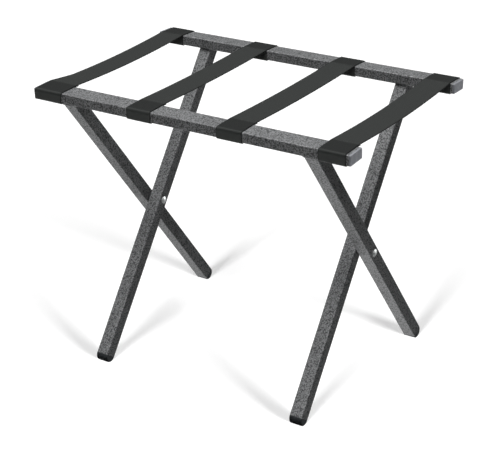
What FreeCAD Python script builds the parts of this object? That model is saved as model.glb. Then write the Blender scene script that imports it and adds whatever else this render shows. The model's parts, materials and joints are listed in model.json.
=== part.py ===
"""Folding luggage rack: two crossed tube frames on two pivot rivets, joined by four webbing straps.

Millimetres. X runs along the rails, Y from front to back and Z up. The origin is on the floor,
under the middle of the rack. The outer frame carries the front rail and stands on the rear feet,
and the inner frame carries the rear rail and stands on the front feet.
"""
import FreeCAD, Part
import os
import Sketcher

VECTOR = FreeCAD.Vector
X_AXIS = VECTOR(1, 0, 0)
Y_AXIS = VECTOR(0, 1, 0)
Z_AXIS = VECTOR(0, 0, 1)
FRONT, REAR = -1, 1      # signs along Y
LEFT, RIGHT = -1, 1      # signs along X

DRIVING_DIMENSIONS = {
    "overall_length": 610.0,      # over the rail end caps
    "rail_depth": 37.0,           # front to back
    "rail_height": 18.0,
    "rail_centre_y": 182.0,       # of the rear rail, the front rail is at minus this
    "rail_centre_z": 503.8,
    "rail_tilt": 2.0,             # degrees that each rail's outer edge leans down
    "leg_size": 24.0,             # square tube
    "leg_angle": 37.1,            # degrees from upright
    "leg_inset": 59.0,            # from the rack's end to the outer leg
    "pivot_height": 252.3,
    "tube_wall": 1.2,
    "tube_corner": 2.0,
    "cap_flange": 3.0,
    "cap_edge": 0.8,
    "plug_length": 14.0,
    "plug_wall": 2.0,
    "plug_clearance": 0.1,
    "land_width": 8.0,            # flat under each foot cap
    "spacer_thickness": 6.0,
    "spacer_radius": 9.0,
    "side_clearance": 0.1,        # beside the spacer and under the rivet's formed head
    "rivet_radius": 4.0,
    "rivet_clearance": 0.05,
    "rivet_head_radius": 6.6,
    "rivet_head_rim": 0.9,
    "rivet_head_dome": 2.3,
    "strap_width": 48.0,
    "strap_thickness": 1.5,
    "strap_ease": 0.1,            # between a loop and its rail
    "strap_sag": 3.6,             # at the middle of the span
    "strap_end_gap": 0.15,        # from a half span's end to the middle
    "flex_room": 1.7,             # from a loop's inner face to the line where the span bends
    "flex_start": 1.0,            # from that line to the start of the half span
    "strap_1_x": -271.3,
    "strap_2_x": -87.3,
    "strap_3_x": 91.0,
    "strap_4_x": 273.8,
}

DERIVED_DIMENSIONS = {
    "rail_length": "=overall_length - 2 * cap_flange",
    "rail_bore_depth": "=rail_depth - 2 * tube_wall",
    "rail_bore_height": "=rail_height - 2 * tube_wall",
    "leg_bore": "=leg_size - 2 * tube_wall",
    "foot_radius": "=leg_size / 2",
    "foot_centre_z": "=sqrt(foot_radius ^ 2 - (land_width / 2) ^ 2)",
    "leg_below": "=(pivot_height - foot_centre_z) / cos(leg_angle * 1deg)",
    "leg_above": "=(rail_centre_z - pivot_height) / cos(leg_angle * 1deg)",
    "foot_centre_y": "=leg_below * sin(leg_angle * 1deg)",
    "leg_face_x": "=overall_length / 2 - leg_inset",
    "outer_leg_x": "=leg_face_x - leg_size / 2",
    "inner_leg_x": "=outer_leg_x - leg_size - spacer_thickness",
    "pivot_hole_radius": "=rivet_radius + rivet_clearance",
    "rivet_grip": "=2 * leg_size + spacer_thickness + side_clearance",
    "rivet_dome_radius": "=(rivet_head_radius ^ 2 + rivet_head_dome ^ 2) / (2 * rivet_head_dome)",
    "rivet_dome_sunk": "=rivet_dome_radius - rivet_head_dome - rivet_head_rim",
    "loop_bore_depth": "=rail_depth + 2 * strap_ease",
    "loop_bore_height": "=rail_height + 2 * strap_ease",
    "loop_depth": "=loop_bore_depth + 2 * strap_thickness",
    "loop_height": "=loop_bore_height + 2 * strap_thickness",
    "flex_y": "=rail_centre_y - loop_depth / 2 - flex_room",
    "flex_rise": "=(loop_height - strap_thickness + loop_depth * sin(rail_tilt * 1deg)) / 2",
    "flex_z": "=rail_centre_z + flex_rise",
    "sag_angle": "=atan(strap_sag / flex_y) / 1deg",
    "span_end": "=(flex_y - strap_end_gap) / cos(sag_angle * 1deg)",
    "span_length": "=span_end - flex_start",
}


# Helpers: the sheet, expressions and placements

def make_sheet(doc):
    """The spreadsheet that every piece reads its sizes from."""
    sheet = doc.addObject("Spreadsheet::Sheet", "Sizes")
    rows = {**DRIVING_DIMENSIONS, **DERIVED_DIMENSIONS}
    for row, (alias, value) in enumerate(rows.items(), start=1):
        sheet.set(f"A{row}", alias)
        sheet.set(f"B{row}", str(value))
        sheet.setAlias(f"B{row}", alias)
    doc.recompute()


def on_sheet(expression):
    """The expression with each alias in it written as a cell of the sheet."""
    written = ""
    word = ""
    for letter in expression + " ":
        if letter.isalnum() or letter == "_":
            word += letter
            continue
        is_alias = word in DRIVING_DIMENSIONS or word in DERIVED_DIMENSIONS
        written += f"Sizes.{word}" if is_alias else word
        written += letter
        word = ""
    return written.strip()


def bind(item, path, expression):
    """Drive a property or a named constraint by an expression on the sheet."""
    item.setExpression(path, on_sheet(expression))


def place(item, x="0", y="0", z="0", angle="0", axis=X_AXIS):
    """Put an object at a point and turn it about an axis, by expressions."""
    item.Placement = FreeCAD.Placement(VECTOR(0, 0, 0), FreeCAD.Rotation(axis, 1.0))
    bind(item, "Placement.Base.x", x)
    bind(item, "Placement.Base.y", y)
    bind(item, "Placement.Base.z", z)
    bind(item, "Placement.Rotation.Angle", f"({angle}) * 1deg")


# Helpers: bodies, sketches and features

def new_body(doc, name):
    body = doc.addObject("PartDesign::Body", f"body_{name}")
    body.Label = name
    return body


def new_sketch(body, plane, name, shift_x="0", shift_y="0", shift_z="0"):
    """A sketch on one of the body's origin planes, shifted in its own directions."""
    sketch = body.newObject("Sketcher::SketchObject", f"{body.Label}_{name}")
    support = [item for item in body.Origin.OriginFeatures if item.Role == plane][0]
    sketch.AttachmentSupport = [(support, "")]
    sketch.MapMode = "FlatFace"
    bind(sketch, "AttachmentOffset.Base.x", shift_x)
    bind(sketch, "AttachmentOffset.Base.y", shift_y)
    bind(sketch, "AttachmentOffset.Base.z", shift_z)
    return sketch


def add_dimension(sketch, name, expression, *constraint):
    """A named driving constraint whose value is an expression on the sheet."""
    value = float(sketch.evalExpression(on_sheet(expression)))
    index = sketch.addConstraint(Sketcher.Constraint(*constraint, value))
    sketch.renameConstraint(index, name)
    bind(sketch, f"Constraints.{name}", expression)


def draw_rectangle(sketch, width, height):
    """A rectangle centred on the sketch's origin."""
    corners = [VECTOR(-1, -1, 0), VECTOR(1, -1, 0), VECTOR(1, 1, 0), VECTOR(-1, 1, 0)]
    for start, end in zip(corners, corners[1:] + corners[:1]):
        sketch.addGeometry(Part.LineSegment(start, end), False)
    for side in range(4):
        direction = "Vertical" if side % 2 else "Horizontal"
        sketch.addConstraint(Sketcher.Constraint("Coincident", side, 2, (side + 1) % 4, 1))
        sketch.addConstraint(Sketcher.Constraint(direction, side))
    sketch.addConstraint(Sketcher.Constraint("Symmetric", 0, 1, 1, 2, -1, 1))
    add_dimension(sketch, "width", width, "DistanceX", 0, 1, 0, 2)
    add_dimension(sketch, "height", height, "DistanceY", 1, 1, 1, 2)


def draw_circle(sketch, radius):
    """A circle centred on the sketch's origin."""
    sketch.addGeometry(Part.Circle(VECTOR(0, 0, 0), Z_AXIS, 1.0), False)
    sketch.addConstraint(Sketcher.Constraint("Coincident", 0, 3, -1, 1))
    add_dimension(sketch, "radius", radius, "Radius", 0)


def pad(body, sketch, length, midplane=False, reverse=False):
    feature = body.newObject("PartDesign::Pad", f"{sketch.Name}_pad")
    feature.Profile = sketch
    feature.Midplane = midplane
    feature.Reversed = reverse
    bind(feature, "Length", length)
    return feature


def pocket_through(body, sketch):
    """Cut a sketch right through the body, both ways."""
    feature = body.newObject("PartDesign::Pocket", f"{sketch.Name}_pocket")
    feature.Profile = sketch
    feature.Type = "ThroughAll"
    feature.Midplane = True


def fillet(body, feature, radius, chosen):
    """Round the feature's edges that pass the test."""
    body.Document.recompute()
    names = [f"Edge{i}" for i, edge in enumerate(feature.Shape.Edges, start=1) if chosen(edge)]
    rounding = body.newObject("PartDesign::Fillet", f"{feature.Name}_fillet")
    rounding.Base = (feature, names)
    bind(rounding, "Radius", radius)
    return rounding


def is_straight(edge):
    return edge.Curve.TypeId == "Part::GeomLine"


def runs_along(axis):
    """A test for straight edges parallel to the axis."""
    return lambda edge: is_straight(edge) and abs(edge.tangentAt(edge.FirstParameter).dot(axis)) > 0.999


def lies_at_x(distance):
    """A test for edges in the two planes at this distance from the body's middle."""
    return lambda edge: all(abs(abs(v.Point.x) - distance) < 1e-3 for v in edge.Vertexes)


def cut(doc, name, base, tool):
    """A piece made by trimming one object with another."""
    piece = doc.addObject("Part::Cut", f"trimmed_{name}")
    piece.Label = name
    piece.Base = base
    piece.Tool = tool
    return piece


# Sections that several pieces share

def rounded_bar(body, plane, size, corner, length, shift_z="0", midplane=True, reverse=False):
    """A bar of rounded rectangular section, the outside of a tube, a cap or a loop."""
    section = new_sketch(body, plane, "section", shift_z=shift_z)
    draw_rectangle(section, *size)
    bar = pad(body, section, length, midplane, reverse)
    axis = Z_AXIS if plane == "XY_Plane" else X_AXIS
    return fillet(body, bar, corner, runs_along(axis))


def bore_through(body, plane, size):
    section = new_sketch(body, plane, "bore")
    draw_rectangle(section, *size)
    pocket_through(body, section)


RAIL_SIZE = ("rail_depth", "rail_height")
RAIL_BORE = ("rail_bore_depth", "rail_bore_height")


def place_on_rail(item, side, x="0"):
    """Put an object drawn about a rail's axis on the front or rear rail."""
    place(item, x, f"{side} * rail_centre_y", "rail_centre_z", f"{-side} * rail_tilt")


# The frames

def make_rail(doc, name, side):
    """A rectangular steel tube."""
    body = new_body(doc, name)
    rounded_bar(body, "YZ_Plane", RAIL_SIZE, "tube_corner", "rail_length")
    bore_through(body, "YZ_Plane", RAIL_BORE)
    place_on_rail(body, side)
    return body


def make_rail_envelope(doc, name, side):
    """The rail's outside as a plain solid bar, which trims the legs' tops to its underside."""
    body = new_body(doc, name)
    section = new_sketch(body, "YZ_Plane", "section")
    draw_rectangle(section, *RAIL_SIZE)
    pad(body, section, "rail_length", midplane=True)
    place_on_rail(body, side)
    return body


def make_leg(doc, name, x, top_side, rail_envelope):
    """A square steel tube from foot to rail, drawn about the pivot and leaning towards its rail."""
    body = new_body(doc, f"{name}_tube")
    length = "leg_below + leg_above"
    rounded_bar(body, "XY_Plane", ("leg_size", "leg_size"), "tube_corner", length, "-leg_below", False)
    bore_through(body, "XY_Plane", ("leg_bore", "leg_bore"))
    hole = new_sketch(body, "YZ_Plane", "pivot_hole")
    draw_circle(hole, "pivot_hole_radius")
    pocket_through(body, hole)
    place(body, x, z="pivot_height", angle=f"{-top_side} * leg_angle")
    return cut(doc, name, body, rail_envelope)


def make_rail_cap(doc, name, side, end):
    """A plastic plug for a rail's end: a flange flush with the tube and a hollow plug inside it."""
    body = new_body(doc, name)
    inwards = end == RIGHT
    flange = rounded_bar(
        body, "YZ_Plane", RAIL_SIZE, "tube_corner", "cap_flange", midplane=False, reverse=not inwards)
    fillet(body, flange, "cap_edge", lies_at_x(DRIVING_DIMENSIONS["cap_flange"]))
    plug = new_sketch(body, "YZ_Plane", "plug")
    draw_rectangle(plug, "rail_bore_depth - 2 * plug_clearance", "rail_bore_height - 2 * plug_clearance")
    pad(body, plug, "plug_length", reverse=inwards)
    hollow = new_sketch(body, "YZ_Plane", "hollow")
    draw_rectangle(hollow, "rail_bore_depth - 2 * plug_wall", "rail_bore_height - 2 * plug_wall")
    cavity = body.newObject("PartDesign::Pocket", f"{hollow.Name}_pocket")
    cavity.Profile = hollow
    cavity.Reversed = not inwards
    bind(cavity, "Length", "plug_length")
    place_on_rail(body, side, f"{end} * rail_length / 2")
    return body


def make_foot_cap(doc, name, x, side, floor):
    """A plastic glide: a half-round nose on the tube's end, worn flat on the floor, and a plug."""
    body = new_body(doc, f"{name}_nose")
    disc = new_sketch(body, "YZ_Plane", "disc")
    draw_circle(disc, "foot_radius")
    pad(body, disc, "leg_size", midplane=True)
    upper_half = new_sketch(body, "YZ_Plane", "upper_half", shift_y="leg_size / 2")
    draw_rectangle(upper_half, "2 * leg_size", "leg_size")
    pocket_through(body, upper_half)
    at_cheek = lies_at_x(DRIVING_DIMENSIONS["leg_size"] / 2)
    fillet(body, body.Tip, "tube_corner", lambda edge: at_cheek(edge) and not is_straight(edge))
    plug = new_sketch(body, "XY_Plane", "plug")
    draw_rectangle(plug, "leg_bore - 2 * plug_clearance", "leg_bore - 2 * plug_clearance")
    pad(body, plug, "plug_length")
    place(body, x, f"{side} * foot_centre_y", "foot_centre_z", f"{side} * leg_angle")
    return cut(doc, name, body, floor)


def make_floor(doc):
    """The space below the floor, which trims the foot caps flat."""
    floor = doc.addObject("Part::Box", "floor")
    bind(floor, "Length", "overall_length")
    bind(floor, "Width", "4 * rail_centre_y")
    bind(floor, "Height", "leg_size")
    place(floor, "-overall_length / 2", "-2 * rail_centre_y", "-leg_size")
    return floor


# The pivots

def place_on_pivot(item, x, direction):
    """Turn an object drawn along Z to point left or right, on the pivot's axis."""
    place(item, x, z="pivot_height", angle=f"{direction} * 90", axis=Y_AXIS)


def make_rivet(doc, name, end):
    """A domed steel rivet through an outer leg, the spacer and an inner leg, headed at both ends."""
    shank = doc.addObject("Part::Cylinder", f"{name}_shank")
    bind(shank, "Radius", "rivet_radius")
    bind(shank, "Height", "rivet_grip")
    place_on_pivot(shank, f"{end} * leg_face_x", -end)
    parts = [shank]
    for head, start, outwards in (("outer", "0", end), ("formed", "rivet_grip", -end)):
        face_x = f"{end} * (leg_face_x - {start})"
        rim = doc.addObject("Part::Cylinder", f"{name}_{head}_rim")
        bind(rim, "Radius", "rivet_head_radius")
        bind(rim, "Height", "rivet_head_rim")
        place_on_pivot(rim, face_x, outwards)
        dome = doc.addObject("Part::Sphere", f"{name}_{head}_dome")
        bind(dome, "Radius", "rivet_dome_radius")
        bind(dome, "Angle1", "acos(rivet_head_radius / rivet_dome_radius)")
        place_on_pivot(dome, f"{face_x} - {outwards} * rivet_dome_sunk", outwards)
        parts += [rim, dome]
    rivet = doc.addObject("Part::MultiFuse", f"fused_{name}")
    rivet.Label = name
    rivet.Shapes = parts
    rivet.Refine = True
    return rivet


def make_spacer(doc, name, end):
    """A nylon washer that keeps the inner leg clear of the outer one."""
    body = new_body(doc, name)
    disc = new_sketch(body, "YZ_Plane", "disc")
    draw_circle(disc, "spacer_radius")
    pad(body, disc, "spacer_thickness - side_clearance", reverse=end == RIGHT)
    hole = new_sketch(body, "YZ_Plane", "hole")
    draw_circle(hole, "pivot_hole_radius")
    pocket_through(body, hole)
    place(body, f"{end} * (leg_face_x - leg_size)", z="pivot_height")
    return body


# The straps

def make_strap_loop(doc, name, x, side):
    """The end of a strap where it is sewn round a rail."""
    body = new_body(doc, name)
    rounded_bar(body, "YZ_Plane", ("loop_depth", "loop_height"), "strap_thickness", "strap_width")
    bore_through(body, "YZ_Plane", ("loop_bore_depth", "loop_bore_height"))
    place_on_rail(body, side, x)
    return body


def make_half_span(doc, name, x, side):
    """Half of a strap's free span, flat from the line where it bends to the middle of the rack."""
    body = new_body(doc, name)
    section = new_sketch(body, "YZ_Plane", "section", shift_x=f"{-side} * (flex_start + span_length / 2)")
    draw_rectangle(section, "span_length", "strap_thickness")
    pad(body, section, "strap_width", midplane=True)
    place(body, x, f"{side} * flex_y", "flex_z", f"{side} * sag_angle")
    return body


def make_rack(doc):
    """Every piece of the rack, each labelled with its own name."""
    pieces = []
    floor = make_floor(doc)
    frames = (
        ("outer", FRONT, "front_rail", "outer_leg_x", REAR, "rear"),
        ("inner", REAR, "rear_rail", "inner_leg_x", FRONT, "front"),
    )
    for frame, rail_side, rail_name, leg_x, foot_side, foot_name in frames:
        pieces.append(make_rail(doc, rail_name, rail_side))
        envelope = make_rail_envelope(doc, f"{rail_name}_envelope", rail_side)
        for end, hand in ((LEFT, "left"), (RIGHT, "right")):
            x = f"{end} * {leg_x}"
            pieces.append(make_leg(doc, f"{frame}_leg_{hand}", x, rail_side, envelope))
            pieces.append(make_rail_cap(doc, f"{rail_name}_cap_{hand}", rail_side, end))
            pieces.append(make_foot_cap(doc, f"foot_cap_{foot_name}_{hand}", x, foot_side, floor))
    for end, hand in ((LEFT, "left"), (RIGHT, "right")):
        pieces.append(make_rivet(doc, f"pivot_rivet_{hand}", end))
        pieces.append(make_spacer(doc, f"pivot_spacer_{hand}", end))
    for number in range(1, 5):
        for side, rail in ((FRONT, "front"), (REAR, "rear")):
            x = f"strap_{number}_x"
            pieces.append(make_strap_loop(doc, f"strap_{number}_{rail}_loop", x, side))
            pieces.append(make_half_span(doc, f"strap_{number}_{rail}_span", x, side))
    return pieces


def check_document(doc, pieces):
    """Stop if any object failed or any piece isn't one valid solid."""
    for item in doc.Objects:
        if "Invalid" in item.State or "Error" in item.State:
            raise RuntimeError(f"{item.Label} failed: {item.State}")
    for piece in pieces:
        shape = piece.Shape
        if shape.isNull() or not shape.isValid() or len(shape.Solids) != 1:
            raise RuntimeError(f"{piece.Label} isn't one valid solid")


def write_parts(pieces):
    os.makedirs("parts", exist_ok=True)
    for piece in pieces:
        piece.Shape.exportStep(f"parts/{piece.Label}.step")
        box = piece.Shape.BoundBox
        print(f"{piece.Label:26s} {piece.Shape.Volume:10.1f} mm3"
              f"  x {box.XMin:7.1f} {box.XMax:7.1f}  y {box.YMin:7.1f} {box.YMax:7.1f}"
              f"  z {box.ZMin:7.1f} {box.ZMax:7.1f}")


rack = FreeCAD.newDocument("luggage_rack")
make_sheet(rack)
rack_pieces = make_rack(rack)
rack.recompute()
check_document(rack, rack_pieces)
write_parts(rack_pieces)
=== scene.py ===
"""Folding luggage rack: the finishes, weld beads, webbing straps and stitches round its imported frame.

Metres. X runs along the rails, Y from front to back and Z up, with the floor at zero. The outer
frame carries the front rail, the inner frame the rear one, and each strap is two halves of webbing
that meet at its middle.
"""
import json
import math
import bpy
from mathutils import Matrix, Vector
from mathutils.geometry import convex_hull_2d


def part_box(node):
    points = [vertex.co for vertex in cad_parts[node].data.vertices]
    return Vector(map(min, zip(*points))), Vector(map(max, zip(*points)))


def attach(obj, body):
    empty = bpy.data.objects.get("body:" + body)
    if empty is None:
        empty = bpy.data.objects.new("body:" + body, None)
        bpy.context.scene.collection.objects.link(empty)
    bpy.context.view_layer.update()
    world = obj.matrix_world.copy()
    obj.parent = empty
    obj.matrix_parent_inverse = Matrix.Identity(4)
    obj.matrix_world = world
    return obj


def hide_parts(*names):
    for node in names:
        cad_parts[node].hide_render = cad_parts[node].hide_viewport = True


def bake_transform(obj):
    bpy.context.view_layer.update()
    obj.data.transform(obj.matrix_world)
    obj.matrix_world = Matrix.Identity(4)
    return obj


bl_info = {
    "name": "Folding luggage rack",
    "version": (1, 0, 0),
    "blender": (4, 5, 0),
    "location": "View3D > Sidebar > Luggage rack",
    "description": "Finishes, weld beads, webbing straps and stitches of a folding luggage rack",
    "category": "Object",
}

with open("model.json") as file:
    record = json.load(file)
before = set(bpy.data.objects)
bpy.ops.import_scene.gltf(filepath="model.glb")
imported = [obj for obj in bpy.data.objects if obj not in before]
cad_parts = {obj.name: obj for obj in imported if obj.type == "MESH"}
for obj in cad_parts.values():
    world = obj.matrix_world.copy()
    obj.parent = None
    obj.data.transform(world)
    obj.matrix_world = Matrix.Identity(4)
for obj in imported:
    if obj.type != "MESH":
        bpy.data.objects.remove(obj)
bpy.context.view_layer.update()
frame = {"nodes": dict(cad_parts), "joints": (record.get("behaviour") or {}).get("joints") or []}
MM = 0.001
SIDES = (("front", -1), ("rear", 1))            # rail name and its sign along Y
FRAMES = {"front": "outer", "rear": "inner"}    # the frame that carries each rail
HANDS = ("left", "right")
STRAP_NUMBERS = (1, 2, 3, 4)


def linear(hex_colour):
    """Linear RGBA of an sRGB hex colour."""
    channels = [int(hex_colour[i:i + 2], 16) / 255 for i in (1, 3, 5)]
    curve = [c / 12.92 if c <= 0.04045 else ((c + 0.055) / 1.055) ** 2.4 for c in channels]
    return (*curve, 1.0)


def size_property(name, description, millimetres):
    return bpy.props.FloatProperty(
        name=name, description=description, default=millimetres * MM, min=0.0,
        precision=5, unit="LENGTH", subtype="DISTANCE")


def sizes_property(name, description, millimetres):
    """One size for each strap."""
    return bpy.props.FloatVectorProperty(
        name=name, description=description, default=[size * MM for size in millimetres],
        size=len(millimetres), precision=5, unit="LENGTH", subtype="NONE")


def angle_property(name, description, degrees):
    return bpy.props.FloatProperty(
        name=name, description=description, default=math.radians(degrees),
        unit="ROTATION", subtype="ANGLE")


def colour_property(name, description, hex_colour):
    return bpy.props.FloatVectorProperty(
        name=name, description=description, default=linear(hex_colour), size=4, min=0.0, max=1.0,
        subtype="COLOR")


def factor_property(name, description, value, most=1.0):
    return bpy.props.FloatProperty(
        name=name, description=description, default=value, min=0.0, max=most)


# Settings: the sizes and colours that a user would change

class RackFinishSettings(bpy.types.PropertyGroup):
    """Colours and grain of the hard pieces."""
    coat_dark: colour_property("Coat ground", "Dark ground of the powder coat", "#474849")
    coat_light: colour_property("Coat fleck", "Silver fleck of the powder coat", "#949596")
    fleck: size_property("Fleck", "Width of a fleck in the powder coat", 2.0)
    cap: colour_property("Rail cap", "Moulded plastic of the rails' end caps", "#7b7d82")
    glide: colour_property("Foot cap", "Moulded plastic of the foot caps", "#26292b")
    spacer: colour_property("Spacer", "Moulded nylon of the pivot spacers", "#2a2b2c")
    zinc: colour_property("Rivet", "Zinc plate of the rivets", "#d6d9d8")


class RackWeldSettings(bpy.types.PropertyGroup):
    """The fillet welds that join the legs to the rails."""
    bead: size_property("Bead radius", "Half the thickness of the weld bead", 1.7)
    ripple: size_property("Ripple", "Length of one ripple along the bead", 1.6)
    depth: factor_property("Ripple depth", "Share of the bead's radius that a ripple dips", 0.14)


class RackStrapSettings(bpy.types.PropertyGroup):
    """The webbing of the four straps and how it is laid and sewn."""
    width: size_property("Width", "Width of the webbing", 48.0)
    thickness: size_property("Thickness", "Thickness of the webbing", 1.5)
    sags: sizes_property("Sags", "Drop at the middle of each strap's free span", (4.6, 2.5, 2.9, 5.2))
    skews: sizes_property(
        "Skews", "How far right of its rear end each strap's front end lies", (6.4, 4.5, -1.2, 0.0))
    lap: size_property("Lap", "Length of the end that is sewn back under the span", 5.0)
    flare: size_property("Flare", "How far the first strap's front end is pulled out to the left", 9.3)
    flare_run: size_property("Flare run", "Length of span over which it spreads", 47.0)
    clearance: size_property("Clearance", "Gap kept between a strap and a leg under the rail", 0.6)
    thread_dark: colour_property("Hollow", "Webbing between its threads", "#080909")
    thread_light: colour_property("Thread", "Webbing on top of its threads", "#282a29")
    # Painted light: the paler colour that the webbing takes round the rails' sides
    wear_and_painted_light: colour_property("Rubbed", "Webbing where the fibres are rubbed up", "#5b5e5c")
    pick: size_property("Pick", "Distance between threads of the weave", 1.7)
    stitch: size_property("Stitch", "Length of a stitch", 2.6)
    stitch_pitch: size_property("Stitch pitch", "Distance from one stitch to the next", 3.4)
    thread: size_property("Thread thickness", "Thickness of the sewing thread", 0.55)
    seam_inset: size_property("Seam inset", "From a strap's selvedge to its seam", 3.5)
    seam_start: size_property("Seam start", "From the bend to the row of stitches", 3.2)
    sewing: colour_property("Sewing thread", "Thread that sews the laps", "#2c2e2e")


class RackStageSettings(bpy.types.PropertyGroup):
    """Floor, lights and camera."""
    azimuth: angle_property("Azimuth", "How far round to the right the camera stands", 32.8)
    elevation: angle_property("Elevation", "How far above the horizon the camera stands", 25.05)
    roll: angle_property("Roll", "How far the camera leans", -1.05)
    distance: size_property("Distance", "From the camera to the middle of the rack", 2450.5)
    aim_x: bpy.props.FloatProperty(
        name="Aim X", description="Point that the camera looks at, along the rails", default=-0.0033,
        unit="LENGTH")
    aim_z: size_property("Aim height", "Height of the point that the camera looks at", 246.6)
    lens: bpy.props.FloatProperty(name="Lens", description="Focal length in millimetres", default=99.05)
    floor: colour_property("Floor", "Colour in which the floor shows the shadow lights", "#e8e8e8")
    floor_seen: factor_property(
        "Floor glow", "Brightness of the white floor that the camera sees", 0.315, 4.0)
    floor_lit: factor_property("Floor bounce", "Brightness that the floor throws on the rack", 0.04, 4.0)
    overhead: factor_property("Overhead", "Strength of the overhead softbox", 4.05, 20.0)
    underlight: factor_property("Underlight", "Strength of the light from under the rack", 4.0, 20.0)
    front_fill: factor_property("Front fill", "Strength of the soft light on the rack's front", 0.6, 20.0)
    back_shadow: factor_property("Back shadow", "Strength of the floor's light from the front", 12.0, 20.0)
    left_shadow: factor_property("Left shadow", "Strength of the floor's light from the right", 12.0, 20.0)
    trim: factor_property("Trim light", "Strength of the light on the caps and rivets", 1.7, 20.0)
    sky: factor_property("Fill", "Strength of the fill light from all round", 0.02, 4.0)


# Helpers: nodes, meshes and pieces

def add_node(tree, kind, inputs=None, **settings):
    """Add a node with its settings. Inputs maps a socket's name or number to a value, or to the
    output that is linked to it."""
    node = tree.nodes.new(kind)
    for name, value in settings.items():
        setattr(node, name, value)
    for socket, value in (inputs or {}).items():
        if isinstance(value, bpy.types.NodeSocket):
            tree.links.new(value, node.inputs[socket])
        else:
            node.inputs[socket].default_value = value
    return node


def new_material(name):
    """An empty material and its tree, with an output for the shader."""
    material = bpy.data.materials.new(name)
    material.use_nodes = True
    material.node_tree.nodes.clear()
    return material, material.node_tree


def finish_material(tree, shader):
    add_node(tree, "ShaderNodeOutputMaterial", {"Surface": shader.outputs[0]})


def new_object(name, mesh):
    piece = bpy.data.objects.new(name, mesh)
    bpy.context.scene.collection.objects.link(piece)
    return piece


def polylines(name, lines, closed):
    """A guide object of edges along lists of points."""
    points = []
    edges = []
    for line in lines:
        first = len(points)
        points += line
        edges += [(first + i, first + i + 1) for i in range(len(line) - 1)]
        if closed:
            edges.append((first + len(line) - 1, first))
    mesh = bpy.data.meshes.new(name)
    mesh.from_pydata(points, edges, [])
    return new_object(name, mesh)


def grow(name, guide, tree, values):
    """The plain mesh that a geometry tree makes on a guide object, which is then removed."""
    modifier = guide.modifiers.new("grow", "NODES")
    modifier.node_group = tree
    for item in tree.interface.items_tree:
        if item.in_out == "INPUT" and item.name in values:
            modifier[item.identifier] = values[item.name]
    evaluated = guide.evaluated_get(bpy.context.evaluated_depsgraph_get())
    mesh = bpy.data.meshes.new_from_object(evaluated)
    guide.modifiers.remove(modifier)
    bpy.data.objects.remove(guide)
    if not mesh.polygons:
        raise RuntimeError(f"{name} came out empty")
    mesh.name = name
    return new_object(name, mesh)


def new_geometry_tree(name, sizes):
    """A geometry tree with a geometry input, named size inputs and a material input."""
    tree = bpy.data.node_groups.new(name, "GeometryNodeTree")
    tree.interface.new_socket(name="Geometry", in_out="INPUT", socket_type="NodeSocketGeometry")
    for size in sizes:
        tree.interface.new_socket(name=size, in_out="INPUT", socket_type="NodeSocketFloat")
    tree.interface.new_socket(name="Material", in_out="INPUT", socket_type="NodeSocketMaterial")
    tree.interface.new_socket(name="Geometry", in_out="OUTPUT", socket_type="NodeSocketGeometry")
    return tree, add_node(tree, "NodeGroupInput")


def finish_geometry(tree, entry, geometry):
    """End a geometry tree in real, smooth, finished faces."""
    real = add_node(tree, "GeometryNodeRealizeInstances", {0: geometry})
    smooth = add_node(tree, "GeometryNodeSetShadeSmooth", {0: real.outputs[0]})
    dressed = add_node(
        tree, "GeometryNodeSetMaterial",
        {"Geometry": smooth.outputs[0], "Material": entry.outputs["Material"]})
    add_node(tree, "NodeGroupOutput", {0: dressed.outputs[0]})


def dress(nodes, material):
    """Give CAD nodes a finish."""
    for name in nodes:
        slots = frame["nodes"][name].data.materials
        slots.clear()
        slots.append(material)


# Finishes

def powder_coat(finish):
    """Hammertone powder coat, sprayed on steel tube and baked: the silver flakes float into flecks
    on a charcoal ground, and the skin dries in fine dimples with a satin gloss."""
    cell = finish.fleck / 0.9           # the skin's cells are a little wider than its flecks
    cloud = finish.fleck / 0.06         # and the flakes thin out over far wider patches
    faint, full = -0.22, 0.34           # heights of the skin where a fleck starts and is whole
    evened = 0.66                       # brings flecks that drift has raised back to whole
    rough_ground, rough_fleck = 0.55, 0.38
    material, tree = new_material("hammertone_powder_coat")
    place = add_node(tree, "ShaderNodeTexCoord").outputs["Object"]
    flecks = add_node(
        tree, "ShaderNodeTexNoise",
        {"Vector": place, "Scale": 1 / finish.fleck, "Detail": 2.0, "Roughness": 0.65, "Distortion": 0.4})
    cells = add_node(
        tree, "ShaderNodeTexVoronoi", {"Vector": place, "Scale": 1 / cell}, feature="SMOOTH_F1")
    raised = add_node(
        tree, "ShaderNodeMath", {0: flecks.outputs[0], 1: cells.outputs["Distance"]}, operation="SUBTRACT")
    share = add_node(
        tree, "ShaderNodeMapRange",
        {"Value": raised.outputs[0], "From Min": faint, "From Max": full},
        interpolation_type="SMOOTHSTEP")
    drift = add_node(
        tree, "ShaderNodeTexNoise", {"Vector": place, "Scale": 1 / cloud, "Detail": 1.0})
    added = add_node(
        tree, "ShaderNodeMath", {0: share.outputs[0], 1: drift.outputs[0]}, operation="MULTIPLY")
    raised_share = add_node(
        tree, "ShaderNodeMath", {0: share.outputs[0], 1: added.outputs[0]}, operation="ADD")
    cover = add_node(
        tree, "ShaderNodeMath", {0: raised_share.outputs[0], 1: evened}, operation="MULTIPLY")
    colour = add_node(
        tree, "ShaderNodeMix", {0: cover.outputs[0], "A": finish.coat_dark, "B": finish.coat_light},
        data_type="RGBA")
    gloss = add_node(
        tree, "ShaderNodeMapRange",
        {"Value": share.outputs[0], "To Min": rough_ground, "To Max": rough_fleck})
    dimples = add_node(
        tree, "ShaderNodeBump", {"Height": raised.outputs[0], "Strength": 0.5, "Distance": 0.25 * MM})
    shader = add_node(
        tree, "ShaderNodeBsdfPrincipled",
        {"Base Color": colour.outputs["Result"], "Roughness": gloss.outputs[0], "Metallic": 0.25,
         "Normal": dimples.outputs[0]})
    finish_material(tree, shader)
    return material


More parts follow.
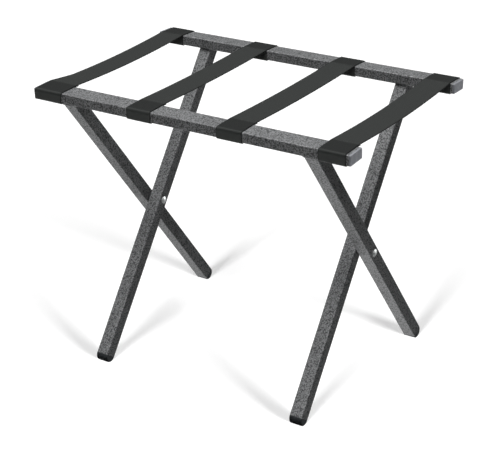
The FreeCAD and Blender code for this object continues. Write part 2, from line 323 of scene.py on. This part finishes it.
def moulded_plastic(name, tint, roughness, grain):
    """Injection-moulded plastic with a spark-eroded grain, rubbed a little paler here and there."""
    patch = 12 * grain                  # width of a rubbed patch
    most_rubbed = 0.35                  # share of the paler colour at a patch's middle
    gain, haze = 1.9, 0.012             # rubbing turns the plastic about twice as bright
    pale = [min(1.0, gain * channel + haze) for channel in tint[:3]]
    material, tree = new_material(name)
    place = add_node(tree, "ShaderNodeTexCoord").outputs["Object"]
    texture = add_node(
        tree, "ShaderNodeTexNoise", {"Vector": place, "Scale": 1 / grain, "Detail": 3.0, "Roughness": 0.6})
    wear_and_painted_light = add_node(
        tree, "ShaderNodeTexNoise", {"Vector": place, "Scale": 1 / patch, "Detail": 2.0})
    rub = add_node(
        tree, "ShaderNodeMapRange",
        {"Value": wear_and_painted_light.outputs[0], "From Min": 0.45, "From Max": 0.75, "To Max": most_rubbed})
    colour = add_node(
        tree, "ShaderNodeMix", {0: rub.outputs[0], "A": tint, "B": (*pale, 1.0)}, data_type="RGBA")
    gloss = add_node(
        tree, "ShaderNodeMapRange",
        {"Value": texture.outputs[0], "To Min": roughness - 0.08, "To Max": roughness + 0.1})
    bump = add_node(
        tree, "ShaderNodeBump", {"Height": texture.outputs[0], "Strength": 0.35, "Distance": 0.1 * MM})
    shader = add_node(
        tree, "ShaderNodeBsdfPrincipled",
        {"Base Color": colour.outputs["Result"], "Roughness": gloss.outputs[0], "IOR": 1.5,
         "Normal": bump.outputs[0]})
    finish_material(tree, shader)
    return material


def zinc_plate(finish):
    """Bright zinc plate on a headed steel rivet: clean metal with the faint swirl of the heading tool."""
    turning = 1.1 * MM          # width of a tool mark, three times the real one's so that it shows
    material, tree = new_material("bright_zinc_plated_steel")
    place = add_node(tree, "ShaderNodeTexCoord").outputs["Object"]
    swirl = add_node(
        tree, "ShaderNodeTexNoise",
        {"Vector": place, "Scale": 1 / turning, "Detail": 4.0, "Distortion": 1.5})
    gloss = add_node(
        tree, "ShaderNodeMapRange", {"Value": swirl.outputs[0], "To Min": 0.5, "To Max": 0.65})
    bump = add_node(
        tree, "ShaderNodeBump", {"Height": swirl.outputs[0], "Strength": 0.25, "Distance": 0.05 * MM})
    shader = add_node(
        tree, "ShaderNodeBsdfPrincipled",
        {"Base Color": finish.zinc, "Metallic": 1.0, "Roughness": gloss.outputs[0],
         "Normal": bump.outputs[0]})
    finish_material(tree, shader)
    return material


def woven_webbing(strap):
    """Polypropylene webbing in a plain weave: ribs along the strap crossed by picks, dull, with the
    least sheen from the fibres. Painted shade darkens it along its selvedges, and painted light makes
    it darkest on a rail's top and palest round the rail's sides."""
    tuft = 1.4 * MM             # a tuft of fibres; it and the pick are drawn coarser, to show
    stagger_step = 0.5          # of a pick, from one rib to the next
    tuft_share = 0.35           # of the yarn's height
    most_painted_light = 0.5             # share of the painted light's colour where that light is whole
    # Painted shade darkens the outermost strip along each selvedge
    selvedge_start = 0.46       # of the width from the middle; its edge is at 0.5
    selvedge_shade = 0.7
    material, tree = new_material("woven_polypropylene_webbing")
    band = add_node(tree, "ShaderNodeUVMap", uv_map="band")
    axes = add_node(tree, "ShaderNodeSeparateXYZ", {0: band.outputs[0]})
    across = add_node(
        tree, "ShaderNodeMath", {0: axes.outputs["X"], 1: 1 / strap.pick}, operation="MULTIPLY")
    along = add_node(
        tree, "ShaderNodeMath", {0: axes.outputs["Y"], 1: 1 / strap.pick}, operation="MULTIPLY")
    rib_number = add_node(tree, "ShaderNodeMath", {0: across.outputs[0]}, operation="FLOOR")
    stagger = add_node(
        tree, "ShaderNodeMath", {0: rib_number.outputs[0], 1: stagger_step, 2: along.outputs[0]},
        operation="MULTIPLY_ADD")
    crowns = []
    for phase in (across, stagger):
        turn = add_node(tree, "ShaderNodeMath", {0: phase.outputs[0], 1: math.pi}, operation="MULTIPLY")
        wave = add_node(tree, "ShaderNodeMath", {0: turn.outputs[0]}, operation="SINE")
        crowns.append(add_node(tree, "ShaderNodeMath", {0: wave.outputs[0]}, operation="ABSOLUTE"))
    weave = add_node(
        tree, "ShaderNodeMath", {0: crowns[0].outputs[0], 1: crowns[1].outputs[0]}, operation="MULTIPLY")
    fuzz = add_node(
        tree, "ShaderNodeTexNoise", {"Vector": band.outputs[0], "Scale": 1 / tuft, "Detail": 3.0})
    yarn = add_node(
        tree, "ShaderNodeMath", {0: fuzz.outputs[0], 1: tuft_share, 2: weave.outputs[0]},
        operation="MULTIPLY_ADD")
    colour = add_node(
        tree, "ShaderNodeMix", {0: yarn.outputs[0], "A": strap.thread_dark, "B": strap.thread_light},
        data_type="RGBA")
    # Painted light: each point's share of the paler colour, whole round the rails' sides and none on their
    # tops
    wear_and_painted_light = add_node(tree, "ShaderNodeAttribute", attribute_name="wear_and_painted_light")
    share = add_node(
        tree, "ShaderNodeMath", {0: wear_and_painted_light.outputs["Fac"], 1: most_painted_light}, operation="MULTIPLY",
        use_clamp=True)
    painted_light_mix = add_node(
        tree, "ShaderNodeMix", {0: share.outputs[0], "A": colour.outputs["Result"], "B": strap.wear_and_painted_light},
        data_type="RGBA")
    # Painted shade along the selvedges
    edge = add_node(tree, "ShaderNodeMath", {0: axes.outputs["X"]}, operation="ABSOLUTE")
    selvedge = add_node(
        tree, "ShaderNodeMapRange",
        {"Value": edge.outputs[0], "From Min": selvedge_start * strap.width,
         "From Max": 0.5 * strap.width, "To Max": selvedge_shade})
    shaded = add_node(
        tree, "ShaderNodeMix",
        {0: selvedge.outputs[0], "A": painted_light_mix.outputs["Result"], "B": strap.thread_dark}, data_type="RGBA")
    bump = add_node(
        tree, "ShaderNodeBump", {"Height": yarn.outputs[0], "Strength": 0.6, "Distance": 0.25 * MM})
    shader = add_node(
        tree, "ShaderNodeBsdfPrincipled",
        {"Base Color": shaded.outputs["Result"], "Roughness": 0.85, "Specular IOR Level": 0.2,
         "Sheen Weight": 0.03, "Sheen Roughness": 0.5, "Normal": bump.outputs[0]})
    finish_material(tree, shader)
    return material


def sewing_thread(strap):
    """Bonded nylon sewing thread: two twisted plies with a waxy shine."""
    twist = 8 * strap.thread        # scale of the plies' stripes
    groove = 0.55                   # brightness between the plies
    deep = [groove * channel for channel in strap.sewing[:3]]
    material, tree = new_material("bonded_nylon_thread")
    place = add_node(tree, "ShaderNodeTexCoord").outputs["Object"]
    plies = add_node(
        tree, "ShaderNodeTexWave",
        {"Vector": place, "Scale": 1 / twist, "Distortion": 1.0, "Detail": 1.0},
        bands_direction="DIAGONAL")
    colour = add_node(
        tree, "ShaderNodeMix", {0: plies.outputs["Fac"], "A": (*deep, 1.0), "B": strap.sewing},
        data_type="RGBA")
    bump = add_node(
        tree, "ShaderNodeBump", {"Height": plies.outputs["Fac"], "Strength": 0.4, "Distance": 0.1 * MM})
    shader = add_node(
        tree, "ShaderNodeBsdfPrincipled",
        {"Base Color": colour.outputs["Result"], "Roughness": 0.45, "Normal": bump.outputs[0]})
    finish_material(tree, shader)
    return material


# Weld beads

def cut_top(node):
    """The outline of a leg's cut top, in order round it."""
    near = 0.1              # share of the leg's width within which a point is at its top
    points = [vertex.co for vertex in frame["nodes"][node].data.vertices]
    low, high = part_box(node)
    rim = [p for p in points if p.z > high.z - near * (high.x - low.x)]
    return [rim[i].copy() for i in convex_hull_2d([p.xy for p in rim])]


def weld_tree():
    """A bead swept along a loop, whose radius dips once for every ripple."""
    steps = 4               # to a ripple
    tree, entry = new_geometry_tree("weld_bead", ("Bead radius", "Ripple", "Ripple depth"))
    loop = add_node(tree, "GeometryNodeMeshToCurve", {0: entry.outputs["Geometry"]})
    step = add_node(
        tree, "ShaderNodeMath", {0: entry.outputs["Ripple"], 1: 1 / steps}, operation="MULTIPLY")
    fine = add_node(
        tree, "GeometryNodeResampleCurve", {"Curve": loop.outputs[0], "Length": step.outputs[0]},
        mode="LENGTH")
    reach = add_node(tree, "GeometryNodeSplineParameter")
    ripples = add_node(
        tree, "ShaderNodeMath", {0: reach.outputs["Length"], 1: entry.outputs["Ripple"]},
        operation="DIVIDE")
    turn = add_node(tree, "ShaderNodeMath", {0: ripples.outputs[0], 1: math.tau}, operation="MULTIPLY")
    wave = add_node(tree, "ShaderNodeMath", {0: turn.outputs[0]}, operation="SINE")
    swell = add_node(
        tree, "ShaderNodeMath", {0: wave.outputs[0], 1: entry.outputs["Ripple depth"], 2: 1.0},
        operation="MULTIPLY_ADD")
    radius = add_node(
        tree, "ShaderNodeMath", {0: swell.outputs[0], 1: entry.outputs["Bead radius"]},
        operation="MULTIPLY")
    section = add_node(tree, "GeometryNodeCurvePrimitiveCircle", {"Resolution": 10, "Radius": 1.0})
    bead = add_node(
        tree, "GeometryNodeCurveToMesh",
        {"Curve": fine.outputs[0], "Profile Curve": section.outputs["Curve"], "Scale": radius.outputs[0]})
    finish_geometry(tree, entry, bead.outputs[0])
    return tree


# Straps

class StrapRoute:
    """The middle of a strap's thickness in the plane across the rails, from the sewn end round the
    rail to the middle of the span. Distances out are from the middle of the rack, the same both ways."""

    rail_depth = 37 * MM
    rail_height = 18 * MM
    rail_tilt = math.radians(2)
    rail_corner = 2 * MM
    ease = 0.1 * MM
    turn_steps = 6            # to a quarter turn
    span_step = 4 * MM
    face_step = 3.5 * MM
    fold_share = 0.8          # radius of the lap's fold, as a share of the webbing's thickness
    free = 0.27               # share of the painted light on the free webbing; 1.0 is wholly
    upper_edge = 0.5          # the same over the rail's outer upper edge
    meet = 0.04 * MM          # from a half's end to the middle of the rack

    def __init__(self, rail, strap, sag):
        low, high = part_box(f"{rail}_rail")
        self.centre = Vector((abs(low.y + high.y) / 2, (low.z + high.z) / 2))
        self.outwards = Vector((math.cos(self.rail_tilt), -math.sin(self.rail_tilt)))
        self.upwards = Vector((math.sin(self.rail_tilt), math.cos(self.rail_tilt)))
        joint = next(j for j in frame["joints"] if j["name"] == f"{rail}_strap_bend")
        self.bend = Vector((abs(joint["pos_m"][1]), joint["pos_m"][2]))
        self.strap = strap
        self.sag = sag
        self.points = []
        self.wear_and_painted_light = []

    def on_rail(self, out, up):
        return self.centre + out * self.outwards + up * self.upwards

    def span_height(self, out):
        """A strap that hangs between its rails sags in a parabola."""
        return self.bend.y - self.sag * (1 - (out / self.bend.x) ** 2)

    def add(self, point, wear_and_painted_light):
        self.points.append(point)
        self.wear_and_painted_light.append(wear_and_painted_light)

    def straight(self, start, end, wear_and_painted_light):
        """Points from start up to but not at the end."""
        steps = max(1, round((end - start).length / self.face_step))
        for i in range(steps):
            self.add(start.lerp(end, i / steps), wear_and_painted_light)

    def corner(self, centre_out, centre_up, radius, first, last, wear_and_painted_light):
        """An arc in the rail's own directions, its angles in degrees from outwards towards up."""
        for i in range(self.turn_steps):
            angle = math.radians(first + (last - first) * i / self.turn_steps)
            point = self.on_rail(
                centre_out + radius * math.cos(angle), centre_up + radius * math.sin(angle))
            self.add(point, wear_and_painted_light)

    def trace(self):
        """Fill in the whole route."""
        half = self.strap.thickness / 2
        lift = self.ease + half
        out = self.rail_depth / 2 + lift
        up = self.rail_height / 2 + lift
        round_rail = self.rail_corner + lift
        ply = self.strap.thickness + self.ease
        fold = self.strap.thickness * self.fold_share
        turn_in = self.on_rail(-out - fold, up - ply)
        lap_end = self.bend.x - self.strap.lap
        steps = max(2, round(self.strap.lap / self.face_step))
        for i in range(steps):
            where = lap_end + (turn_in.x - lap_end) * i / steps
            self.add(Vector((where, self.span_height(where) - ply)), self.free)
        self.corner(-out - fold, up - ply - fold, fold, 90, 0, self.free)
        # Painted light is whole on the rail's sides and lower corners, half on its outer upper edge and
        # none on its top
        inner, outer = -out + round_rail, out - round_rail
        self.straight(self.on_rail(-out, up - ply - fold), self.on_rail(-out, -up + round_rail), 1.0)
        self.corner(inner, -up + round_rail, round_rail, 180, 270, 1.0)
        self.straight(self.on_rail(inner, -up), self.on_rail(outer, -up), self.free)
        self.corner(outer, -up + round_rail, round_rail, 270, 360, 1.0)
        self.straight(self.on_rail(out, -up + round_rail), self.on_rail(out, up - round_rail), 1.0)
        self.corner(outer, up - round_rail, round_rail, 0, 90, self.upper_edge)
        leave = self.on_rail(-out, up)
        self.straight(self.on_rail(outer, up), leave, 0.0)
        self.bend_over(leave)
        steps = round(self.bend.x / self.span_step)
        for i in range(1, steps + 1):
            where = max(self.meet, self.bend.x * (1 - i / steps))
            self.add(Vector((where, self.span_height(where))), self.free)

    def bend_over(self, leave):
        """A smooth turn from the rail's top to the start of the sagging span."""
        slope_in = -math.tan(self.rail_tilt)
        slope_out = 2 * self.sag / self.bend.x
        run = leave.x - self.bend.x
        for i in range(self.turn_steps + 1):
            t = i / self.turn_steps
            start = (2 * t ** 3 - 3 * t ** 2 + 1) * leave.y - (t ** 3 - 2 * t ** 2 + t) * run * slope_in
            end = (3 * t ** 2 - 2 * t ** 3) * self.bend.y - (t ** 3 - t ** 2) * run * slope_out
            self.add(Vector((leave.x - run * t, start + end)), self.free * t)


def webbing_section(width, thickness):
    """Points round a band's cross-section, with round selvedges: how far across and how far out."""
    half = thickness / 2
    flat = width / 2 - half
    lanes = 8               # across each flat side
    turns = 4               # round each selvedge
    top = [(flat * (1 - 2 * i / lanes), half) for i in range(lanes + 1)]
    left = [(-flat - half * math.sin(math.pi * i / turns), half * math.cos(math.pi * i / turns))
            for i in range(1, turns)]
    one_way = top + left
    return one_way + [(-x, -z) for x, z in one_way]


def strap_middle(number, rail, side, out, route):
    """X of a strap's middle at a distance out from the rack's middle. A strap runs slightly askew."""
    low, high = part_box(f"strap_{number}_{rail}_loop")
    share = min(1.0, out / route.bend.x)
    return (low.x + high.x) / 2 - side * share * route.strap.skews[number - 1] / 2


def leg_in_the_way(rail, middle, strap):
    """How far a strap must lean left as it goes under the rail, to clear a leg on its right."""
    right_edge = middle + strap.width / 2
    overlaps = [right_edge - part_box(f"{FRAMES[rail]}_leg_{hand}")[0].x + strap.clearance
                for hand in HANDS]
    return max([lean for lean in overlaps if 0 < lean < strap.width / 2], default=0.0)


def webbing_half(name, number, rail, side, strap, material):
    """One half of a strap as a closed band of webbing, with its weave laid out on the UV map named
    band. Returns the piece and the length of its webbing."""
    route = StrapRoute(rail, strap, strap.sags[number - 1])
    route.trace()
    section = webbing_section(strap.width, strap.thickness)
    lengths = [0.0]
    for a, b in zip(route.points, route.points[1:]):
        lengths.append(lengths[-1] + (b - a).length)
    middle = strap_middle(number, rail, side, route.bend.x, route)
    lean = leg_in_the_way(rail, middle, strap)
    flare = strap.flare if (number, rail) == (1, "front") else 0.0
    verts = []
    uvs = []
    last = len(route.points) - 1
    for i, point in enumerate(route.points):
        before = route.points[max(i - 1, 0)]
        after = route.points[min(i + 1, last)]
        travel = Vector((-1, 0)) if i == last else (after - before).normalized()
        normal = Vector((travel.y, -travel.x))
        run = (point.x - route.bend.x + strap.flare_run) / strap.flare_run
        spread = flare * min(1.0, max(0.0, run))
        drop = (route.bend.y - point.y) / route.rail_height
        under = lean * min(1.0, max(0.0, drop)) if point.x > route.bend.x else 0.0
        middle = strap_middle(number, rail, side, point.x, route)
        for across, out in section:
            edge = spread * max(0.0, -across / (strap.width / 2))
            spot = point + normal * out
            verts.append((middle + across - edge - under, side * spot.x, spot.y))
            uvs.append((across, lengths[-1] - lengths[i]))
    return band_mesh(name, verts, uvs, route.wear_and_painted_light, len(section), side, material), lengths[-1]


def band_mesh(name, verts, uvs, wear_and_painted_light, ring, side, material):
    """Join rings of points into a closed band."""
    sharp = math.radians(60)        # least angle of an edge that isn't smoothed, as round the ends
    faces = []
    rings = len(verts) // ring
    for i in range(rings - 1):
        for j in range(ring):
            k = (j + 1) % ring
            faces.append((i * ring + j, i * ring + k, (i + 1) * ring + k, (i + 1) * ring + j))
    faces.append(tuple(reversed(range(ring))))
    faces.append(tuple(range((rings - 1) * ring, rings * ring)))
    if side > 0:
        faces = [tuple(reversed(face)) for face in faces]
    mesh = bpy.data.meshes.new(name)
    mesh.from_pydata(verts, [], faces)
    layer = mesh.uv_layers.new(name="band")
    for loop in mesh.loops:
        layer.data[loop.index].uv = uvs[loop.vertex_index]
    # The share of painted light at each point
    shade = mesh.attributes.new("wear_and_painted_light", "FLOAT", "POINT")
    shade.data.foreach_set("value", [wear_and_painted_light[i // ring] for i in range(len(verts))])
    mesh.materials.append(material)
    mesh.shade_smooth()
    mesh.set_sharp_from_angle(angle=sharp)
    return new_object(name, mesh)


# Stitches

def seam(number, rail, side, strap):
    """The row of stitches across a strap near a rail, on top and on the lap under it."""
    route = StrapRoute(rail, strap, strap.sags[number - 1])
    out = route.bend.x - strap.seam_start
    middle = strap_middle(number, rail, side, out, route)
    reach = strap.width / 2 - strap.seam_inset
    top = strap.thickness / 2
    bottom = -top - strap.thickness - route.ease
    rows = []
    for lift in (top, bottom):
        height = route.span_height(out) + lift
        rows.append([(middle + across, side * out, height) for across in (-reach, reach)])
    return rows


def stitch_tree():
    """A stitch of thread laid at every pitch along the seams, each turned along its seam."""
    tree, entry = new_geometry_tree("lock_stitch", ("Stitch", "Stitch pitch", "Thread"))
    loop = add_node(tree, "GeometryNodeMeshToCurve", {0: entry.outputs["Geometry"]})
    spaced = add_node(
        tree, "GeometryNodeResampleCurve",
        {"Curve": loop.outputs[0], "Length": entry.outputs["Stitch pitch"]}, mode="LENGTH")
    tangent = add_node(tree, "GeometryNodeInputTangent")
    turned = add_node(
        tree, "FunctionNodeAlignRotationToVector", {"Vector": tangent.outputs[0]}, axis="X", pivot_axis="Z")
    bead = add_node(tree, "GeometryNodeMeshUVSphere", {"Segments": 8, "Rings": 5, "Radius": 0.5})
    size = add_node(
        tree, "ShaderNodeCombineXYZ",
        {0: entry.outputs["Stitch"], 1: entry.outputs["Thread"], 2: entry.outputs["Thread"]})
    stitch = add_node(
        tree, "GeometryNodeTransform", {"Geometry": bead.outputs[0], "Scale": size.outputs[0]})
    sewn = add_node(
        tree, "GeometryNodeInstanceOnPoints",
        {"Points": spaced.outputs[0], "Instance": stitch.outputs[0], "Rotation": turned.outputs[0]})
    finish_geometry(tree, entry, sewn.outputs[0])
    return tree


# Operators

class RACK_OT_frame(bpy.types.Operator):
    """Coat the steel tubes of both frames"""
    bl_idname = "rack.frame"
    bl_label = "Coat frames"

    def execute(self, context):
        tubes = [f"{rail}_rail" for rail in FRAMES]
        tubes += [f"{name}_leg_{hand}" for name in FRAMES.values() for hand in HANDS]
        dress(tubes, powder_coat(context.scene.rack_finish))
        return {"FINISHED"}


class RACK_OT_plastics(bpy.types.Operator):
    """Give the moulded caps and spacers their plastics"""
    bl_idname = "rack.plastics"
    bl_label = "Finish plastics"

    def execute(self, context):
        finish = context.scene.rack_finish
        cap = moulded_plastic("moulded_nylon_rail_cap", finish.cap, roughness=0.45, grain=0.6 * MM)
        glide = moulded_plastic(
            "moulded_polyethylene_glide", finish.glide, roughness=0.5, grain=0.6 * MM)
        washer = moulded_plastic(
            "moulded_nylon_spacer", finish.spacer, roughness=0.45, grain=0.5 * MM)
        for hand in HANDS:
            dress([f"{rail}_rail_cap_{hand}" for rail in FRAMES], cap)
            dress([f"foot_cap_{rail}_{hand}" for rail in FRAMES], glide)
            dress([f"pivot_spacer_{hand}"], washer)
        return {"FINISHED"}


class RACK_OT_rivets(bpy.types.Operator):
    """Plate the pivot rivets"""
    bl_idname = "rack.rivets"
    bl_label = "Plate rivets"

    def execute(self, context):
        dress([f"pivot_rivet_{hand}" for hand in HANDS], zinc_plate(context.scene.rack_finish))
        return {"FINISHED"}


class RACK_OT_welds(bpy.types.Operator):
    """Run a weld bead round each leg where it meets its rail"""
    bl_idname = "rack.welds"
    bl_label = "Weld legs"

    def execute(self, context):
        weld = context.scene.rack_weld
        tree = weld_tree()
        values = {"Bead radius": weld.bead, "Ripple": weld.ripple, "Ripple depth": weld.depth,
                  "Material": bpy.data.materials["hammertone_powder_coat"]}
        for name in FRAMES.values():
            loops = [cut_top(f"{name}_leg_{hand}") for hand in HANDS]
            beads = grow(f"{name}_weld_beads", polylines("weld_path", loops, True), tree, values)
            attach(beads, f"{name}_frame")
        return {"FINISHED"}


class RACK_OT_straps(bpy.types.Operator):
    """Lay the four webbing straps over the rails"""
    bl_idname = "rack.straps"
    bl_label = "Lay straps"

    blend_start = 1.6 * MM      # outside the line where the strap bends
    blend_end = 2.4 * MM        # inside it

    def execute(self, context):
        strap = context.scene.rack_strap
        material = woven_webbing(strap)
        for number in STRAP_NUMBERS:
            for rail, side in SIDES:
                half, length = webbing_half(
                    f"strap_{number}_{rail}_webbing", number, rail, side, strap, material)
                bend = StrapRoute(rail, strap, 0.0).bend
                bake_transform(half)
                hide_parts(f"strap_{number}_{rail}_loop", f"strap_{number}_{rail}_span")
        return {"FINISHED"}


class RACK_OT_stitches(bpy.types.Operator):
    """Sew each strap's laps down beside the rails"""
    bl_idname = "rack.stitches"
    bl_label = "Sew laps"

    def execute(self, context):
        strap = context.scene.rack_strap
        tree = stitch_tree()
        values = {"Stitch": strap.stitch, "Stitch pitch": strap.stitch_pitch, "Thread": strap.thread,
                  "Material": sewing_thread(strap)}
        for rail, side in SIDES:
            rows = []
            for number in STRAP_NUMBERS:
                rows += seam(number, rail, side, strap)
            stitches = grow(f"{rail}_stitches", polylines("seam_path", rows, False), tree, values)
            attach(stitches, f"{rail}_straps")
        return {"FINISHED"}


class RACK_OT_stage(bpy.types.Operator):
    """Set the floor, the lights and the camera"""
    bl_idname = "rack.stage"
    bl_label = "Set stage"

    def execute(self, context):
        stage = context.scene.rack_stage
        floor = self.floor(stage)
        self.lights(stage, floor)
        self.surroundings(context.scene, stage)
        self.camera(context.scene, stage)
        context.scene.view_settings.view_transform = "Standard"
        return {"FINISHED"}

    def floor(self, stage):
        """A white floor that glows evenly, and shows only the shadows that two lights throw on it."""
        half = 20.0             # metres; far enough to pass out of view
        mesh = bpy.data.meshes.new("floor")
        corners = [(-half, -half, 0), (half, -half, 0), (half, half, 0), (-half, half, 0)]
        mesh.from_pydata(corners, [], [(0, 1, 2, 3)])
        material, tree = new_material("matt_white_floor")
        path = add_node(tree, "ShaderNodeLightPath")
        strength = add_node(
            tree, "ShaderNodeMapRange",
            {"Value": path.outputs["Is Camera Ray"], "To Min": stage.floor_lit, "To Max": stage.floor_seen})
        colour = add_node(
            tree, "ShaderNodeMix",
            {0: path.outputs["Is Camera Ray"], "A": (0, 0, 0, 1), "B": stage.floor}, data_type="RGBA")
        shader = add_node(
            tree, "ShaderNodeBsdfPrincipled",
            {"Base Color": colour.outputs["Result"], "Roughness": 0.9, "Specular IOR Level": 0.0,
             "Emission Color": (1, 1, 1, 1), "Emission Strength": strength.outputs[0]})
        finish_material(tree, shader)
        mesh.materials.append(material)
        floor = new_object("floor", mesh)
        floor.visible_shadow = False
        return floor

    def receivers(self, name, objects, state):
        """A collection for a light to fall on only, or to leave out."""
        collection = bpy.data.collections.new(name)
        for item in objects:
            collection.objects.link(item)
        for link in collection.collection_objects:
            link.light_linking.link_state = state
        return collection

    def lights(self, stage, floor):
        """Soft suns. Three light only the rack: from overhead, from in front, and up from the floor
        without the foot caps. One picks out the caps and rivets. Two low ones light only the floor,
        where they leave the legs' shadows behind the rack and to its left."""
        nodes = frame["nodes"]
        glides = [nodes[f"foot_cap_{rail}_{hand}"] for rail in FRAMES for hand in HANDS]
        caps = [nodes[f"{rail}_rail_cap_{hand}"] for rail in FRAMES for hand in HANDS]
        rivets = [nodes[f"pivot_rivet_{hand}"] for hand in HANDS]
        only_floor = self.receivers("only_the_floor", [floor], "INCLUDE")
        only_rack = self.receivers("all_but_the_floor", [floor], "EXCLUDE")
        only_frame = self.receivers("all_but_floor_and_glides", [floor, *glides], "EXCLUDE")
        only_trim = self.receivers("only_caps_and_rivets", [*caps, *glides, *rivets], "INCLUDE")
        # name, strength, spread, lean from straight overhead, turn about Z, and what it lights; degrees
        suns = (
            ("overhead_softbox", stage.overhead, 60, (0, 0), only_rack),
            ("underlight", stage.underlight, 60, (180, 0), only_frame),
            ("front_fill", stage.front_fill, 20, (55, 10), only_rack),
            ("trim_light", stage.trim, 20, (81, 140), only_trim),
            ("back_shadow", stage.back_shadow, 18, (82, 3), only_floor),
            ("left_shadow", stage.left_shadow, 18, (82, 73), only_floor),
        )
        for name, strength, spread, (lean, turn), receivers in suns:
            light = bpy.data.lights.new(name, "SUN")
            light.energy = strength
            light.angle = math.radians(spread)
            sun = new_object(name, light)
            sun.rotation_euler = (math.radians(lean), 0, math.radians(turn))
            sun.light_linking.receiver_collection = receivers

    def surroundings(self, scene, stage):
        """A weak fill from all round, and white behind the floor for the camera."""
        world = bpy.data.worlds.new("studio")
        world.use_nodes = True
        tree = world.node_tree
        tree.nodes.clear()
        path = add_node(tree, "ShaderNodeLightPath")
        fill = add_node(tree, "ShaderNodeBackground", {"Color": (1, 1, 1, 1), "Strength": stage.sky})
        backdrop = add_node(tree, "ShaderNodeBackground", {"Color": (1, 1, 1, 1), "Strength": 1.0})
        seen = add_node(
            tree, "ShaderNodeMixShader",
            {0: path.outputs["Is Camera Ray"], 1: fill.outputs[0], 2: backdrop.outputs[0]})
        add_node(tree, "ShaderNodeOutputWorld", {"Surface": seen.outputs[0]})
        scene.world = world

    def camera(self, scene, stage):
        lens = bpy.data.cameras.new("camera")
        lens.lens = stage.lens
        camera = new_object("camera", lens)
        turn = (Matrix.Rotation(stage.azimuth, 4, "Z")
                @ Matrix.Rotation(math.pi / 2 - stage.elevation, 4, "X")
                @ Matrix.Rotation(stage.roll, 4, "Z"))
        aim = Vector((stage.aim_x, 0, stage.aim_z))
        back = turn.to_3x3() @ Vector((0, 0, stage.distance))
        camera.matrix_world = Matrix.Translation(aim + back) @ turn
        scene.camera = camera


class RACK_PT_panel(bpy.types.Panel):
    """The rack's settings, and a button for each step"""
    bl_label = "Luggage rack"
    bl_space_type = "VIEW_3D"
    bl_region_type = "UI"
    bl_category = "Luggage rack"

    def draw(self, context):
        for settings in SETTINGS:
            group = getattr(context.scene, settings)
            box = self.layout.box()
            for name in group.__annotations__:
                box.prop(group, name)
        for operator in OPERATORS:
            self.layout.operator(operator.bl_idname)


SETTINGS = {
    "rack_finish": RackFinishSettings,
    "rack_weld": RackWeldSettings,
    "rack_strap": RackStrapSettings,
    "rack_stage": RackStageSettings,
}
OPERATORS = (
    RACK_OT_stage, RACK_OT_frame, RACK_OT_plastics, RACK_OT_rivets, RACK_OT_welds, RACK_OT_straps,
    RACK_OT_stitches,
)
CLASSES = (*SETTINGS.values(), *OPERATORS, RACK_PT_panel)


def register():
    for item in CLASSES:
        bpy.utils.register_class(item)
    for name, group in SETTINGS.items():
        setattr(bpy.types.Scene, name, bpy.props.PointerProperty(type=group))


def unregister():
    for name in SETTINGS:
        delattr(bpy.types.Scene, name)
    for item in reversed(CLASSES):
        bpy.utils.unregister_class(item)


def main():
    register()
    for operator in OPERATORS:
        group, name = operator.bl_idname.split(".")
        getattr(getattr(bpy.ops, group), name)()


if __name__ == "__main__":
    main()
